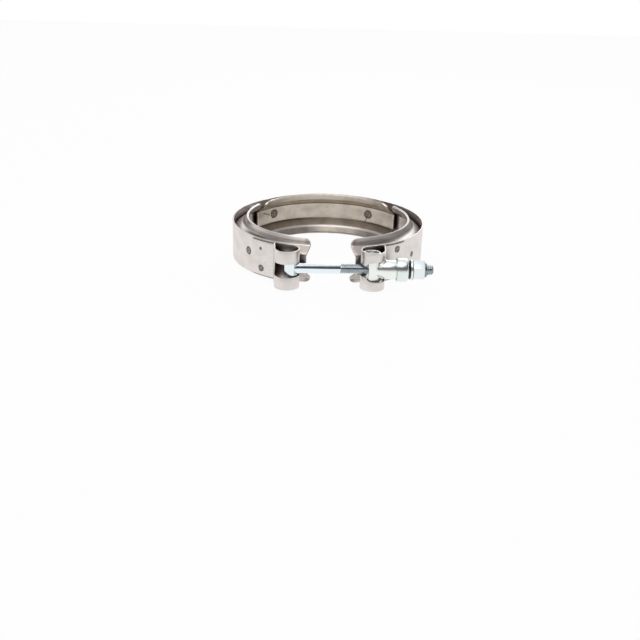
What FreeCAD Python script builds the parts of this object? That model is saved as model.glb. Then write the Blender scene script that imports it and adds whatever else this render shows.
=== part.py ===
"""V band clamp with a T-bolt, shown sprung open.

An outer strap of thin stainless sheet carries three V-shaped retainers. Its two ends are folded
back into loops. The left loop holds the head of the T-bolt and the right loop holds a hollow
trunnion whose sleeve the bolt passes through. A collar, a washer and a lock nut sit outside the
sleeve. Tightening the nut draws the loops together.

Frame: millimetres, +Z up along the clamp's axis, origin at the centre of the back retainer's arc
at mid height, bolt at the front (-Y), nut at the right (+X).
"""
import FreeCAD, Part
import math
import os

V = FreeCAD.Vector
UP = V(0, 0, 1)
ALONG_BOLT = V(1, 0, 0)

# ---------------------------------------------------------------- driving dimensions, mm and degrees
# retainers: the V-section segments that grip the flanges
rim_radius = 45.0            # inner edge of the lips, where the flanges enter
rim_half_height = 13.95      # half the total height over the lips
retainer_sheet = 1.2
groove_depth = 8.25          # radial, from the lips' edge to the inside of the web
web_half_height = 5.6        # middle line of the web up to its bend
flange_rise = 3.9            # height gained from the web's bend to the lip's bend
lip_lean = 2.7               # radial travel of the lip from its bend to its edge
lip_bend_radius = 2.2
retainer_gap = 3.6           # between the webs of neighbouring retainers, along the closed strap
gap_angle = 60.0             # from +Y to the middle of that gap
front_web_angle = 10.5       # from -Y to the front end of a side retainer's web
lip_set_back = 1.2           # from the lip's bend to where its corner is cut off, at each end
corner_length = 3.9          # of the cut-off corner, along the lip
corner_height = 1.25
front_flare = 1.7            # how far the bends stand out past the web at the front ends
gap_flare = 0.7              # the same at the ends that face a neighbouring retainer

# strap: one piece of thin sheet, bent round the retainers
strap_sheet = 0.7
strap_half_width = 11.5
strap_clearance = 0.05       # between the strap and the backs of the retainers
hinge_angle = 46.0           # from +Y to the middle of the stretch where the strap flexes
opening_angle = 6.3          # how far each side is swung open

# folded loops
pivot_x = 23.05              # T-head axis to the left and trunnion axis to the right
trunnion_to_strap = 1.472    # between the side of the cross tube and the strap behind it
left_loop_inner_radius = 6.6
right_loop_inner_radius = 6.4
pivot_clearance = 0.1        # between a loop and the piece that turns in it
loop_lean = 3.0              # of the loop's outer leg, from the clamp's fore-and-aft direction
landing_bend_radius = 1.6    # where the outer leg turns on to the strap
left_tail_end_angle = 48.5   # from -Y to the cut end of the doubled strap
right_tail_end_angle = 45.2
layer_gap = 0.05             # between the doubled layers
tail_trim = 1.1              # the doubled tail is this much narrower at each edge
left_slot_half_height = 4.05
right_slot_neck_half_height = 3.45
right_slot_neck_reach = 3.5  # from the trunnion's axis to where the narrow part ends
right_slot_half_height = 5.5
right_slot_mouth_half_height = 6.3
slot_side_clearance = 0.45   # between the bolt or sleeve and the end of a slot

# T-bolt
bolt_diameter = 5.94
shank_diameter = 5.9
thread_length = 53.1
thread_past_nut = 3.6
bolt_end_chamfer = 0.7
head_diameter = 8.0
head_length = 15.2
neck_reach = 3.6             # from the head's axis to where the neck starts to taper
neck_length = 1.6            # cone between the head and the shank
neck_growth = 0.6

# trunnion: a cross tube with a sleeve along the bolt
trunnion_diameter = 10.4
trunnion_wall = 1.0
trunnion_length = 20.0
sleeve_diameter = 11.4
sleeve_reach = 14.55         # from the trunnion's axis to the sleeve's end
sleeve_waist_diameter = 9.6  # where the sleeve leaves the cross tube
sleeve_waist_reach = 3.9     # from the trunnion's axis to where the taper starts
sleeve_taper_reach = 8.2     # from the trunnion's axis to where the sleeve has its full size
bolt_passage = 0.4           # radial room round the bolt in the sleeve, collar and washer
relief_depth = 1.65          # from the trunnion's axis to the bottom of the bolt relief
relief_radius = 14.0
relief_half_height = 5.0

# pieces outside the sleeve
collar_diameter = 13.9
collar_length = 6.6
collar_shoulder = 1.2        # chamfer on the side next to the washer
collar_nose_diameter = 10.6
collar_nose_length = 1.2
washer_diameter = 12.0
washer_thickness = 1.6
nut_across_flats = 10.0
nut_hex_length = 6.6
nut_crown_diameter = 8.4
nut_crown_length = 1.4
nut_crown_chamfer = 0.4
nut_turn = 27.5              # of a corner of the hexagon, from -Y towards +Z
nut_running_clearance = 0.06
nut_chamfer_angle = 30.0

# ---------------------------------------------------------------- worked out from the above
web_inner_radius = rim_radius + groove_depth
web_middle_radius = web_inner_radius + retainer_sheet / 2
web_outer_radius = web_inner_radius + retainer_sheet
strap_middle_radius = web_outer_radius + strap_clearance + strap_sheet / 2
tail_middle_radius = strap_middle_radius + strap_sheet + layer_gap
half_flex_angle = opening_angle / 2
web_end_angle = gap_angle - math.degrees(retainer_gap / 2 / strap_middle_radius)
pivot_radius = strap_middle_radius + strap_sheet / 2 + trunnion_to_strap + trunnion_diameter / 2
bolt_radius = bolt_diameter / 2
passage_radius = bolt_radius + bolt_passage
sleeve_end_x = pivot_x + sleeve_reach
collar_end_x = sleeve_end_x + collar_length
nose_end_x = collar_end_x + collar_nose_length
washer_end_x = nose_end_x + washer_thickness
nut_hex_end_x = washer_end_x + nut_hex_length
nut_end_x = nut_hex_end_x + nut_crown_length
bolt_end_x = nut_end_x + thread_past_nut


# ---------------------------------------------------------------- helpers
def polar(centre, radius, degrees):
    angle = math.radians(degrees)
    return centre + V(radius * math.cos(angle), radius * math.sin(angle), 0)


def direction(start, end):
    """The angle of the way from one point to another, in degrees."""
    return math.degrees(math.atan2(end.y - start.y, end.x - start.x))


def crossing(centre_a, radius_a, centre_b, radius_b, side):
    """Where two circles cross. side is 1 for the point left of the way from a to b, -1 for the right."""
    across = centre_b - centre_a
    spacing = across.Length
    along = (radius_a ** 2 - radius_b ** 2 + spacing ** 2) / (2 * spacing)
    off = math.sqrt(radius_a ** 2 - along ** 2)
    unit = across * (1 / spacing)
    return centre_a + unit * along + V(-unit.y, unit.x, 0) * (off * side)


class StripLine:
    """The middle line of a bent strip, made of arcs and straight runs that join smoothly."""

    def __init__(self):
        self.runs = []

    def arc(self, centre, radius, start, end):
        self.runs.append(("arc", centre, radius, start, end))

    def line(self, start, end):
        self.runs.append(("line", start, end))

    def edges(self, offset):
        """The line moved sideways, to its left where offset is positive."""
        made = []
        for run in self.runs:
            if run[0] == "line":
                way = (run[2] - run[1]).normalize()
                shift = V(-way.y, way.x, 0) * offset
                made.append(Part.LineSegment(run[1] + shift, run[2] + shift).toShape())
            else:
                centre, radius, start, end = run[1:]
                turned = radius - offset if end > start else radius + offset
                ends = [polar(centre, turned, angle) for angle in (start, (start + end) / 2, end)]
                made.append(Part.Arc(*ends).toShape())
        return made

    def face(self, thickness):
        left, right = self.edges(thickness / 2), self.edges(-thickness / 2)
        # the ends come from the line itself, since an arc's shape may list its vertices backwards
        caps = []
        for at_start in (True, False):
            corners = [self.end_point(offset, at_start) for offset in (thickness / 2, -thickness / 2)]
            caps.append(Part.LineSegment(*corners).toShape())
        return Part.Face(Part.Wire(Part.__sortEdges__(left + right + caps)))

    def end_point(self, offset, at_start):
        run = self.runs[0] if at_start else self.runs[-1]
        if run[0] == "line":
            way = (run[2] - run[1]).normalize()
            return (run[1] if at_start else run[2]) + V(-way.y, way.x, 0) * offset
        centre, radius, start, end = run[1:]
        turned = radius - offset if end > start else radius + offset
        return polar(centre, turned, start if at_start else end)


def chamfered_corner(before, corner, after, bend_radius):
    """The two ends of the facet that stands for a sheet's bend, where the bend would start and end."""
    back, on = (before - corner).normalize(), (after - corner).normalize()
    reach = bend_radius / math.tan(back.getAngle(on) / 2)
    return [corner + back * reach, corner + on * reach]


def sheet_face(points, thickness):
    """The section of a sheet along a line of points in the X-Y plane, mitred where the line turns."""
    left, right = [], []
    for i, point in enumerate(points):
        ways = []
        if i > 0:
            ways.append((point - points[i - 1]).normalize())
        if i < len(points) - 1:
            ways.append((points[i + 1] - point).normalize())
        across = V(0, 0, 0)
        for way in ways:
            across += V(-way.y, way.x, 0)
        across.normalize()
        shift = across * (thickness / 2 / across.dot(V(-ways[0].y, ways[0].x, 0)))
        left.append(point + shift)
        right.append(point - shift)
    outline = left + right[::-1]
    return Part.Face(Part.makePolygon(outline + outline[:1]))


def turned_on_bolt(outline):
    """A solid turned about the bolt's axis from an outline of (x, radius) points."""
    points = [V(x, bolt_y + radius, 0) for x, radius in outline]
    face = Part.Face(Part.makePolygon(points + points[:1]))
    return face.revolve(V(0, bolt_y, 0), ALONG_BOLT, 360)


def bolt_cylinder(radius, start_x, end_x):
    return Part.makeCylinder(radius, end_x - start_x, V(start_x, bolt_y, 0), ALONG_BOLT)


def one_solid(shape):
    """The single solid of a shape, with its split faces joined."""
    solids = shape.removeSplitter().Solids
    if len(solids) != 1:
        raise ValueError(f"expected one solid, found {len(solids)}")
    return solids[0]


# ---------------------------------------------------------------- places worked out in plan
def side_centre(side):
    """Centre of a side retainer's arc. Swinging it about the hinge by the opening angle brings it
    to the origin. side is -1 for the left and 1 for the right."""
    hinge = V(side * math.sin(math.radians(hinge_angle)), math.cos(math.radians(hinge_angle)), 0)
    hinge = hinge * strap_middle_radius
    swing = math.radians(opening_angle)
    turned = V(
        hinge.x * math.cos(swing) - side * hinge.y * math.sin(swing),
        side * hinge.x * math.sin(swing) + hinge.y * math.cos(swing),
        0,
    )
    return hinge - turned


def pivot_y():
    """Both pivots lie at the same distance outside the side arcs, so the bolt runs along X."""
    centre = side_centre(1)
    return centre.y - math.sqrt(pivot_radius ** 2 - (pivot_x - centre.x) ** 2)


bolt_y = pivot_y()


def loop_centre(side, inner_radius, held_radius):
    """Centre of a folded loop: tangent to the strap's arc, and bearing on the piece that it holds."""
    loop_middle = inner_radius + strap_sheet / 2
    pivot = V(side * pivot_x, bolt_y, 0)
    bearing = inner_radius - held_radius - pivot_clearance
    reach = strap_middle_radius + loop_middle
    return crossing(side_centre(side), reach, pivot, bearing, side)


# ---------------------------------------------------------------- strap
def half_strap(side, inner_radius, held_radius, tail_end_angle):
    """The strap from the middle of the back to its cut end, drawn on the left and mirrored for the
    right: back arc, flexing stretch, side arc, loop, outer leg and doubled tail."""
    origin = V(0, 0, 0)
    centre = side_centre(side)
    loop = loop_centre(side, inner_radius, held_radius)
    if side > 0:
        centre, loop = V(-centre.x, centre.y, 0), V(-loop.x, loop.y, 0)
    loop_middle = inner_radius + strap_sheet / 2
    flex_start = 90 + hinge_angle - half_flex_angle

    # where the outer leg meets the bend that lays it on the strap
    lean = math.radians(loop_lean)
    across, ahead = V(math.cos(lean), math.sin(lean), 0), V(-math.sin(lean), math.cos(lean), 0)
    leg_start = loop - across * loop_middle
    bend_reach = tail_middle_radius + landing_bend_radius
    start_offset = leg_start - across * landing_bend_radius - centre
    along = start_offset.dot(ahead)
    leg_length = -along - math.sqrt(along ** 2 - start_offset.dot(start_offset) + bend_reach ** 2)
    leg_end = leg_start + ahead * leg_length
    bend = leg_end - across * landing_bend_radius

    line = StripLine()
    line.arc(origin, strap_middle_radius, 90, flex_start)
    line.line(polar(origin, strap_middle_radius, flex_start), polar(centre, strap_middle_radius, flex_start))
    line.arc(centre, strap_middle_radius, flex_start, direction(centre, loop) + 360)
    line.arc(loop, loop_middle, direction(loop, centre), loop_lean - 180)
    line.line(leg_start, leg_end)
    body = line.face(strap_sheet).extrude(UP * (2 * strap_half_width))

    landing = StripLine()
    landing.arc(bend, landing_bend_radius, loop_lean, direction(bend, centre))
    landing.arc(centre, tail_middle_radius, direction(bend, centre) + 180, 270 - tail_end_angle)
    tail_height = 2 * (strap_half_width - tail_trim)
    tail = landing.face(strap_sheet).extrude(UP * tail_height)
    body.translate(UP * -strap_half_width)
    tail.translate(UP * (-tail_height / 2))
    half = body.fuse(tail)
    return half if side < 0 else half.mirror(origin, ALONG_BOLT)


def slot_cutter(outline, back_y):
    """A slot through a loop's front, from an outline in X and Z, reaching back to back_y."""
    front_y = bolt_y - strap_half_width
    face = Part.Face(Part.makePolygon([V(x, front_y, z) for x, z in outline + outline[:1]]))
    return face.extrude(V(0, back_y - front_y, 0))


def left_slot():
    """A plain slot for the neck of the bolt."""
    near = -pivot_x + head_diameter
    loop_x = loop_centre(-1, left_loop_inner_radius, head_diameter / 2).x
    far = loop_x - left_loop_inner_radius - 2 * strap_sheet
    half = left_slot_half_height
    outline = [(near, -half), (near, half), (far, half), (far, -half)]
    return slot_cutter(outline, bolt_y + shank_diameter / 2 + neck_growth + slot_side_clearance)


def right_slot():
    """A slot that is narrow round the bolt, wider in front of the trunnion, and widest where the
    sleeve comes out."""
    neck, front, mouth = right_slot_neck_half_height, right_slot_half_height, right_slot_mouth_half_height
    near = pivot_x - trunnion_diameter
    shoulder = pivot_x - right_slot_neck_reach
    wide = shoulder + (front - neck)
    flare = pivot_x + trunnion_diameter / 2
    far = sleeve_end_x
    upper = [(near, neck), (shoulder, neck), (wide, front), (flare, mouth), (far, mouth)]
    outline = upper + [(x, -z) for x, z in reversed(upper)]
    front_part = slot_cutter(outline, bolt_y + bolt_radius + slot_side_clearance)
    mouth_outline = [(flare, -mouth), (flare, mouth), (far, mouth), (far, -mouth)]
    swing_room = (sleeve_taper_reach + strap_sheet) * math.sin(math.radians(opening_angle))
    side_part = slot_cutter(mouth_outline, bolt_y + sleeve_diameter / 2 + slot_side_clearance + swing_room)
    return front_part.fuse(side_part)


def make_strap():
    left = half_strap(-1, left_loop_inner_radius, head_diameter / 2, left_tail_end_angle)
    right = half_strap(1, right_loop_inner_radius, trunnion_diameter / 2, right_tail_end_angle)
    return one_solid(left.cut(left_slot()).fuse(right.cut(right_slot())))


# ---------------------------------------------------------------- retainers
def retainer_section():
    """Cross-section of a retainer in the X-Z plane: lip, flange, web, flange, lip."""
    lip_bend_r = rim_radius + retainer_sheet / 2 + lip_lean
    lip_bend_z = web_half_height + flange_rise
    spare = retainer_sheet
    slope = lip_lean / (rim_half_height - lip_bend_z)
    web_corner = V(web_middle_radius, web_half_height, 0)
    lip_corner = V(lip_bend_r, lip_bend_z, 0)
    past_lip = V(lip_bend_r - slope * (rim_half_height - lip_bend_z + spare), rim_half_height + spare, 0)
    upper = [
        web_corner,
        *chamfered_corner(web_corner, lip_corner, past_lip, lip_bend_radius),
        past_lip,
    ]
    lower = [V(p.x, -p.y, 0) for p in reversed(upper)]
    face = sheet_face(lower + upper, retainer_sheet)
    face.rotate(V(0, 0, 0), V(1, 0, 0), 90)
    size = 2 * strap_middle_radius
    slab = Part.makeBox(size, size, 2 * rim_half_height, V(0, -size / 2, -rim_half_height))
    return face.common(slab)


def end_trim(centre, angle, flare, sense):
    """What is cut from the end of a retainer, whose web ends at this angle. The bends stand out by
    flare and the lips' corners are cut off. sense is 1 where the angle grows outwards."""
    set_back = flare - lip_set_back
    upper = [
        (0, web_half_height),
        (flare, web_half_height + flange_rise),
        (set_back, rim_half_height - corner_height),
        (set_back - corner_length, rim_half_height),
        (set_back - corner_length, strap_middle_radius),
        (2 * corner_length, strap_middle_radius),
    ]
    outline = upper + [(x, -z) for x, z in reversed(upper)]
    # drawn facing +Y, where an angle that grows goes towards -X, then turned to the end
    corners = [V(-x * sense, rim_radius - groove_depth, z) for x, z in outline]
    block = Part.Face(Part.makePolygon(corners + corners[:1])).extrude(V(0, strap_middle_radius, 0))
    block.rotate(V(0, 0, 0), UP, angle - 90)
    block.translate(centre)
    return block


def make_retainer(centre, start, end, start_flare, end_flare):
    """A retainer whose web runs between two angles about its centre."""
    margin = math.degrees(2 * max(start_flare, end_flare) / rim_radius)
    section = retainer_section()
    section.rotate(V(0, 0, 0), UP, start - margin)
    section.translate(centre)
    ring = section.revolve(centre, UP, end - start + 2 * margin)
    ring = ring.cut(end_trim(centre, start, start_flare, -1))
    return one_solid(ring.cut(end_trim(centre, end, end_flare, 1)))


def side_retainer(side):
    """A side retainer, from the gap behind to its front end."""
    if side < 0:
        back, front = 90 + web_start_angle(), 270 - front_web_angle
        return make_retainer(side_centre(side), back, front, gap_flare, front_flare)
    front, back = front_web_angle - 90, 90 - web_start_angle()
    return make_retainer(side_centre(side), front, back, front_flare, gap_flare)


def web_start_angle():
    """From +Y to the back end of a side retainer's web, about its own centre."""
    return 2 * gap_angle - web_end_angle - opening_angle


# ---------------------------------------------------------------- T-bolt and what is on it
def make_bolt():
    head = Part.makeCylinder(head_diameter / 2, head_length, V(-pivot_x, bolt_y, -head_length / 2))
    shank_radius = shank_diameter / 2
    neck_x = -pivot_x + neck_reach
    thread_x = bolt_end_x - thread_length
    outline = [
        (-pivot_x, 0),
        (-pivot_x, shank_radius + neck_growth),
        (neck_x, shank_radius + neck_growth),
        (neck_x + neck_length, shank_radius),
        (thread_x, shank_radius),
        (thread_x, bolt_radius),
        (bolt_end_x - bolt_end_chamfer, bolt_radius),
        (bolt_end_x, bolt_radius - bolt_end_chamfer),
        (bolt_end_x, 0),
    ]
    return one_solid(head.fuse(turned_on_bolt(outline)))


def make_trunnion():
    """Cross tube and sleeve in one, with a relief where the bolt enters."""
    tube_radius = trunnion_diameter / 2
    low = V(pivot_x, bolt_y, -trunnion_length / 2)
    tube = Part.makeCylinder(tube_radius, trunnion_length, low)
    sleeve_radius = sleeve_diameter / 2
    outline = [
        (pivot_x, 0),
        (pivot_x, sleeve_waist_diameter / 2),
        (pivot_x + sleeve_waist_reach, sleeve_waist_diameter / 2),
        (pivot_x + sleeve_taper_reach, sleeve_radius),
        (sleeve_end_x, sleeve_radius),
        (sleeve_end_x, 0),
    ]
    body = tube.fuse(turned_on_bolt(outline))
    body = body.cut(Part.makeCylinder(tube_radius - trunnion_wall, trunnion_length, low))
    body = body.cut(bolt_cylinder(passage_radius, pivot_x - trunnion_diameter, sleeve_end_x))
    relief_x = pivot_x - relief_depth - relief_radius
    width = V(0, trunnion_diameter, 0)
    relief = Part.makeCylinder(relief_radius, 2 * width.y, V(relief_x, bolt_y, 0) - width, V(0, 1, 0))
    window = Part.makeBox(
        trunnion_diameter, 2 * width.y, 2 * relief_half_height,
        V(pivot_x - trunnion_diameter, bolt_y, -relief_half_height) - width,
    )
    return one_solid(body.cut(relief.common(window)))


def make_collar():
    radius, nose_radius = collar_diameter / 2, collar_nose_diameter / 2
    ring = turned_on_bolt([
        (sleeve_end_x, 0),
        (sleeve_end_x, radius),
        (collar_end_x - collar_shoulder, radius),
        (collar_end_x, radius - collar_shoulder),
        (collar_end_x, nose_radius),
        (nose_end_x, nose_radius),
        (nose_end_x, 0),
    ])
    return one_solid(ring.cut(bolt_cylinder(passage_radius, sleeve_end_x, nose_end_x)))


def make_washer():
    disc = bolt_cylinder(washer_diameter / 2, nose_end_x, washer_end_x)
    return one_solid(disc.cut(bolt_cylinder(passage_radius, nose_end_x, washer_end_x)))


def make_nut():
    """Hexagon nut with a crown that grips the thread."""
    corner_radius = nut_across_flats / math.sqrt(3)
    corners = []
    for i in range(6):
        angle = math.radians(nut_turn + 60 * i)
        y, z = bolt_y - corner_radius * math.cos(angle), corner_radius * math.sin(angle)
        corners.append(V(washer_end_x, y, z))
    hexagon = Part.Face(Part.makePolygon(corners + corners[:1])).extrude(ALONG_BOLT * nut_hex_length)
    flat_radius = nut_across_flats / 2
    drop = (corner_radius - flat_radius) * math.tan(math.radians(nut_chamfer_angle))
    barrel = turned_on_bolt([
        (washer_end_x, 0),
        (washer_end_x, corner_radius),
        (nut_hex_end_x - drop, corner_radius),
        (nut_hex_end_x, flat_radius),
        (nut_hex_end_x, 0),
    ])
    crown_radius = nut_crown_diameter / 2
    crown = turned_on_bolt([
        (washer_end_x, 0),
        (washer_end_x, crown_radius),
        (nut_end_x - nut_crown_chamfer, crown_radius),
        (nut_end_x, crown_radius - nut_crown_chamfer),
        (nut_end_x, 0),
    ])
    nut = hexagon.common(barrel).fuse(crown)
    return one_solid(nut.cut(bolt_cylinder(bolt_radius + nut_running_clearance, washer_end_x, nut_end_x)))


# ---------------------------------------------------------------- the clamp
def make_clamp():
    """Every piece by its node's name."""
    return {
        "band": make_strap(),
        "retainer_back": make_retainer(
            V(0, 0, 0), 90 - web_end_angle, 90 + web_end_angle, gap_flare, gap_flare
        ),
        "retainer_left": side_retainer(-1),
        "retainer_right": side_retainer(1),
        "t_bolt": make_bolt(),
        "trunnion": make_trunnion(),
        "thrust_collar": make_collar(),
        "washer": make_washer(),
        "lock_nut": make_nut(),
    }


os.makedirs("parts", exist_ok=True)
for name, shape in make_clamp().items():
    shape.exportStep(f"parts/{name}.step")
    box = shape.BoundBox
    print(
        f"{name:15s} valid {shape.isValid()}  volume {shape.Volume:8.1f} mm3"
        f"  x {box.XMin:7.2f} {box.XMax:7.2f}  y {box.YMin:7.2f} {box.YMax:7.2f}"
        f"  z {box.ZMin:7.2f} {box.ZMax:7.2f}"
    )
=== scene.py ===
# %% [markdown]
# A V band clamp joins two flanged tubes. Three V-shaped retainers sit inside a thin strap, and a
# T-bolt draws the strap's two folded ends together. The clamp stands sprung open here.
# The measured model is loaded first, as a fixed frame in metres. Everything below is made round it.

# %% The frame
import math

import bmesh
import bpy
from mathutils import Matrix, Vector
from mathutils.bvhtree import BVHTree


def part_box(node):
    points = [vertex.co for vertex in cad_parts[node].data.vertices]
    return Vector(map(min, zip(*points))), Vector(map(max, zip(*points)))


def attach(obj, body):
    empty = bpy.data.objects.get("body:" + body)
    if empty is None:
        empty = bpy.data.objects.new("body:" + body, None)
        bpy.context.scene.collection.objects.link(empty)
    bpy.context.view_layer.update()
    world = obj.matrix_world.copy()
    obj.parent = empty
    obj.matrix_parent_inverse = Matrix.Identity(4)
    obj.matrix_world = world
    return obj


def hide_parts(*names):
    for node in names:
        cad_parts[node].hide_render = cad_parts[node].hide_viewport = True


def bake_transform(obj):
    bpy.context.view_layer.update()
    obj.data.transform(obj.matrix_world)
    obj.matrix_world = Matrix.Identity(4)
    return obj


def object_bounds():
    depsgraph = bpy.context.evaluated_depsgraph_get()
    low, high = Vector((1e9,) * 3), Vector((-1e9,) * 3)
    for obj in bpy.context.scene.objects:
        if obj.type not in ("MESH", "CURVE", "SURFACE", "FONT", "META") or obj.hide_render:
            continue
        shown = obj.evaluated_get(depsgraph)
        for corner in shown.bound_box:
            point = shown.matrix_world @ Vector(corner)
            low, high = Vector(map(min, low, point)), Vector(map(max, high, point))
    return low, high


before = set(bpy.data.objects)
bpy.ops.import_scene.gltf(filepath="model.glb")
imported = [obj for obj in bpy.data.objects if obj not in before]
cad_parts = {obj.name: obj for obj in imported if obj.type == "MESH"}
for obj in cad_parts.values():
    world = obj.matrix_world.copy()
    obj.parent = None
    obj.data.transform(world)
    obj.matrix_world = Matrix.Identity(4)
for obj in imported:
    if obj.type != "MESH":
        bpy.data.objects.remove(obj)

CAD_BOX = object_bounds()
MM = 0.001
scene = bpy.context.scene

# %% [markdown]
# The camera comes next. It looks down on the clamp from a little left of centre, as someone at a
# bench would, and its long lens keeps the rings from bulging.

# %% Camera
def make_camera():
    data = bpy.data.cameras.new("camera")
    data.lens, data.sensor_width = 50.12, 36
    data.clip_start, data.clip_end = 0.01, 50
    camera = bpy.data.objects.new("camera", data)
    camera.location = (-0.0246415, -0.5426479, 0.1759747)
    camera.rotation_euler = [math.radians(a) for a in (66.535, -1.5777, -1.6041)]
    scene.collection.objects.link(camera)
    scene.camera = camera
    return camera


camera = make_camera()
print("camera at", tuple(round(v, 3) for v in camera.location))

# %% [markdown]
# Light makes bare metal look like metal. A white backdrop alone would turn the steel to chalk, so most
# of the sky is dark, with white low down and a soft box overhead, and two broad lamps draw the bright
# lines along the bends, with painted highlights on the retainers' lower bends and rims besides. The
# camera, and whatever mirrors the backdrop, see white.

# %% Shader helpers
class Socket:
    """One output in a node tree. Python's operators on it add Math nodes."""

    def __init__(self, tree, socket):
        self.tree, self.socket = tree, socket

    def _math(self, operation, first, second):
        return self.tree.node("ShaderNodeMath", {"operation": operation}, {0: first, 1: second})[0]

    def __add__(self, other):
        return self._math("ADD", self, other)

    def __radd__(self, other):
        return self._math("ADD", other, self)

    def __sub__(self, other):
        return self._math("SUBTRACT", self, other)

    def __rsub__(self, other):
        return self._math("SUBTRACT", other, self)

    def __mul__(self, other):
        return self._math("MULTIPLY", self, other)

    def __rmul__(self, other):
        return self._math("MULTIPLY", other, self)

    def __truediv__(self, other):
        return self._math("DIVIDE", self, other)


class Node:
    """A node whose outputs are read as Sockets, by number or by name."""

    def __init__(self, tree, node):
        self.tree, self.made = tree, node

    def __getitem__(self, key):
        return Socket(self.tree, self.made.outputs[key])


class Tree:
    """A material's or the world's node tree."""

    def __init__(self, owner):
        owner.use_nodes = True
        self.nodes, self.links = owner.node_tree.nodes, owner.node_tree.links
        self.nodes.clear()

    def node(self, kind, settings=None, inputs=None, stops=None):
        made = self.nodes.new(kind)
        for name, value in (settings or {}).items():
            setattr(made, name, value)
        if stops:
            elements = made.color_ramp.elements
            while len(elements) < len(stops):
                elements.new(0.5)
            for element, (position, colour) in zip(elements, stops):
                element.position, element.color = position, (*colour, 1)
        for key, value in (inputs or {}).items():
            if isinstance(value, Socket):
                self.links.new(value.socket, made.inputs[key])
            else:
                made.inputs[key].default_value = value
        return Node(self, made)

    def mix(self, share, first, second, blend="MIX"):
        """Two colours mixed, or blended another way."""
        settings = {"data_type": "RGBA", "blend_type": blend}
        return self.node("ShaderNodeMix", settings, {0: share, 6: first, 7: second})[2]

    def noise(self, vector, scale, detail=3.0, stretch=(1, 1, 1)):
        """Noise from 0 to 1, with its coordinates stretched first."""
        mapped = self.node("ShaderNodeMapping", inputs={"Vector": vector, "Scale": stretch})[0]
        inputs = {"Vector": mapped, "Scale": scale, "Detail": detail}
        return self.node("ShaderNodeTexNoise", inputs=inputs)[0]

    def ease(self, value, low, high, to_low=0.0, to_high=1.0):
        """Runs smoothly from to_low to to_high as value goes from low to high."""
        inputs = {0: value, 1: low, 2: high, 3: to_low, 4: to_high}
        return self.node("ShaderNodeMapRange", {"interpolation_type": "SMOOTHSTEP"}, inputs)[0]

    def band(self, value, start, full, last, end):
        """1 from full to last, easing to 0 at start and at end, all in millimetres."""
        return self.ease(value, start * MM, full * MM) * self.ease(value, end * MM, last * MM)

    def vector(self, operation, first, second):
        """Vector Math: its vector is output 0 and its number output 1."""
        return self.node("ShaderNodeVectorMath", {"operation": operation}, {0: first, 1: second})

    def parts(self, vector):
        """A vector's x, y and z as outputs 0, 1 and 2."""
        return self.node("ShaderNodeSeparateXYZ", inputs={0: vector})

    def size(self, value):
        """A number without its sign."""
        return self.node("ShaderNodeMath", {"operation": "ABSOLUTE"}, {0: value})[0]

    def here(self):
        """The place on the object."""
        return self.node("ShaderNodeTexCoord")["Object"]

    def uv(self, name):
        return self.node("ShaderNodeUVMap", {"uv_map": name})[0]

    def metal(self, colour, metallic, roughness, normal):
        """The material's own surface."""
        inputs = {"Base Color": colour, "Metallic": metallic, "Roughness": roughness, "Normal": normal}
        surface = self.node("ShaderNodeBsdfPrincipled", inputs=inputs)[0]
        self.node("ShaderNodeOutputMaterial", inputs={0: surface})


print("helpers ready")

# %% World and floor
WHITE = (1.0, 1.0, 1.0)
DIM = (0.07, 0.07, 0.075)
SOFT_BOX = (0.95, 0.96, 1.0)
# colours up the sky, from the floor's edge (0) to overhead (1)
SKY_IN_FRONT = [
    (0.0, WHITE), (0.06, WHITE), (0.18, DIM), (0.84, DIM), (0.93, SOFT_BOX), (1.0, SOFT_BOX),
]
SKY_BEHIND = [
    (0.0, WHITE), (0.42, WHITE), (0.52, DIM), (0.74, DIM), (0.86, SOFT_BOX), (1.0, SOFT_BOX),
]


def make_world():
    world = bpy.data.worlds.new("studio")
    scene.world = world
    tree = Tree(world)
    way = tree.parts(tree.node("ShaderNodeTexCoord")["Generated"])
    skies = [
        tree.node("ShaderNodeValToRGB", inputs={0: way[2]}, stops=stops)[0]
        for stops in (SKY_IN_FRONT, SKY_BEHIND)
    ]
    sky = tree.mix(tree.ease(way[1], -0.2, 0.2), *skies)
    light = tree.node("ShaderNodeBackground", inputs={"Color": sky, "Strength": 1.0})[0]
    tree.node("ShaderNodeOutputWorld", inputs={0: light})


FLOOR_GLOW = 0.96  # how much of its own white the paper shows
FLOOR_HALF_SIZE = 1.5


def make_floor():
    bm = bmesh.new()
    bmesh.ops.create_grid(bm, x_segments=1, y_segments=1, size=FLOOR_HALF_SIZE)
    bmesh.ops.translate(bm, verts=bm.verts, vec=(0, 0, CAD_BOX[0][2]))
    mesh = bpy.data.meshes.new("floor")
    bm.to_mesh(mesh)
    bm.free()
    floor = bpy.data.objects.new("floor", mesh)
    scene.collection.objects.link(floor)
    material = bpy.data.materials.new("floor_paper")
    tree = Tree(material)
    matt_white = {"Base Color": (0.9, 0.9, 0.9, 1), "Roughness": 0.9}
    paper = tree.node("ShaderNodeBsdfPrincipled", inputs=matt_white)[0]
    glow = tree.node("ShaderNodeEmission", inputs={"Color": (1, 1, 1, 1), "Strength": 1.0})[0]
    ray = tree.node("ShaderNodeLightPath")
    seen = ray["Is Camera Ray"] + ray["Is Glossy Ray"] + ray["Is Transmission Ray"]
    mixed = tree.node("ShaderNodeMixShader", inputs={0: seen * FLOOR_GLOW, 1: paper, 2: glow})[0]
    tree.node("ShaderNodeOutputMaterial", inputs={0: mixed})
    mesh.materials.append(material)


def make_lamp(name, place, target, size, power):
    data = bpy.data.lights.new(name, "AREA")
    data.shape, data.size, data.size_y = "RECTANGLE", size[0], size[1]
    data.energy = power
    lamp = bpy.data.objects.new(name, data)
    lamp.location = place
    lamp.rotation_euler = (Vector(target) - Vector(place)).to_track_quat("-Z", "Y").to_euler()
    scene.collection.objects.link(lamp)


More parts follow.
